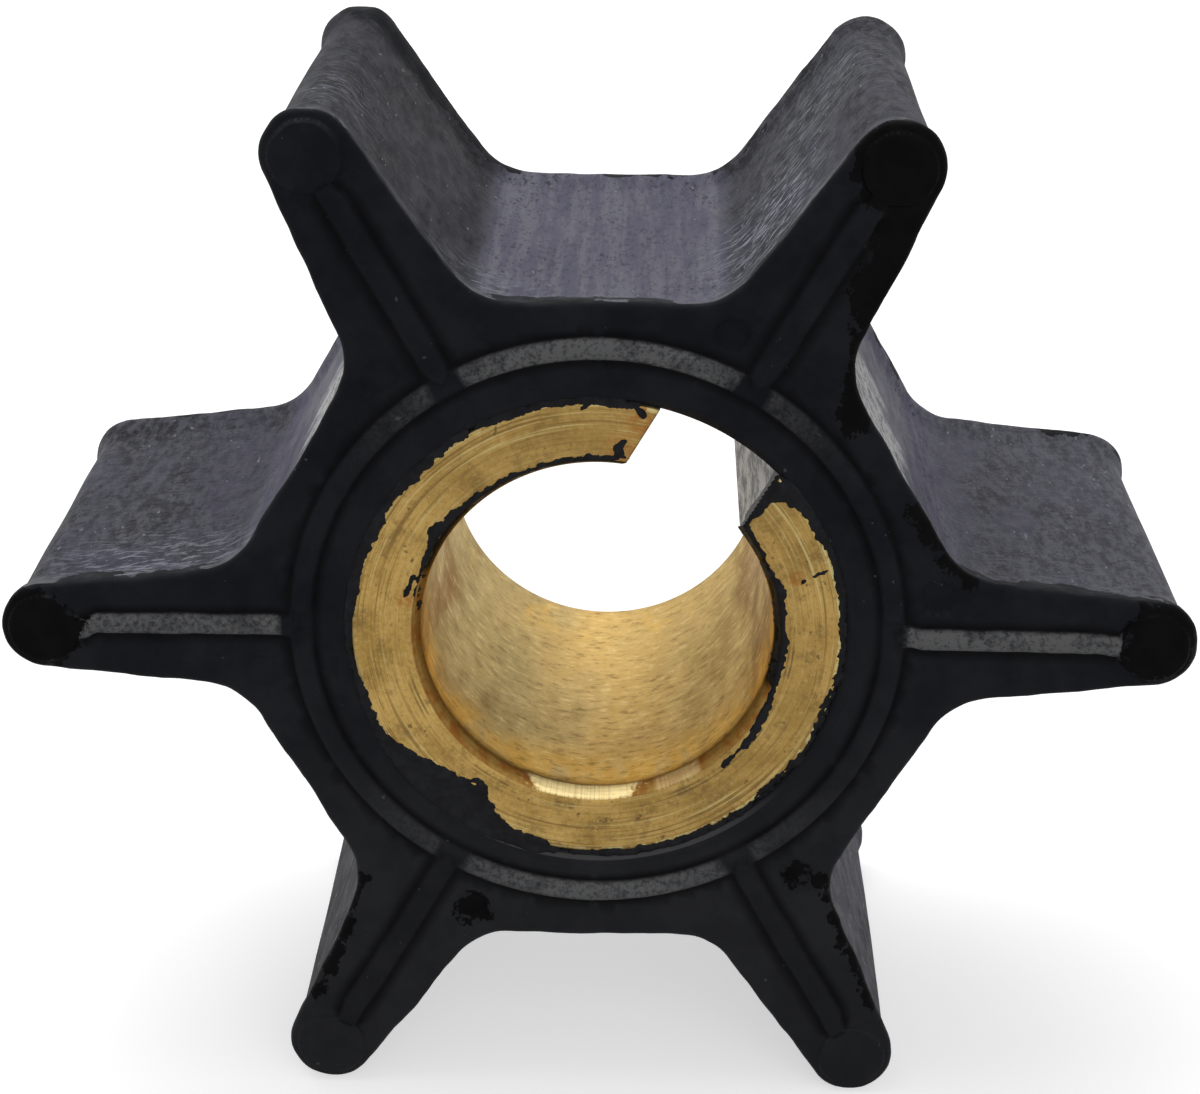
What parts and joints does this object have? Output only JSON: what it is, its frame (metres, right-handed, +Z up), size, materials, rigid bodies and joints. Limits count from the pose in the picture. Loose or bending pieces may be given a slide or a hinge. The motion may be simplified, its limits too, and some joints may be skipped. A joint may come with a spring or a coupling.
{
  "type": "rubber pump impeller",
  "caption": "Flexible rubber water-pump impeller with straight vanes on a keyed brass bush, for a small marine engine's cooling pump.",
  "frame": {"origin": "on the bore axis at the middle of the impeller's width", "axes": "+Y along the bore axis towards the back face, +X along one vane, +Z up as it stands on two vane tips"},
  "size_m": [0.0562, 0.024, 0.0492],
  "materials": {
    "rubber": "matt black moulded rubber with a grey bloom",
    "brass": "turned brass, stained"
  },
  "bodies": {
    "root": {"rubber_body": "rubber", "brass_bush": "brass"}
  },
  "joints": []
}
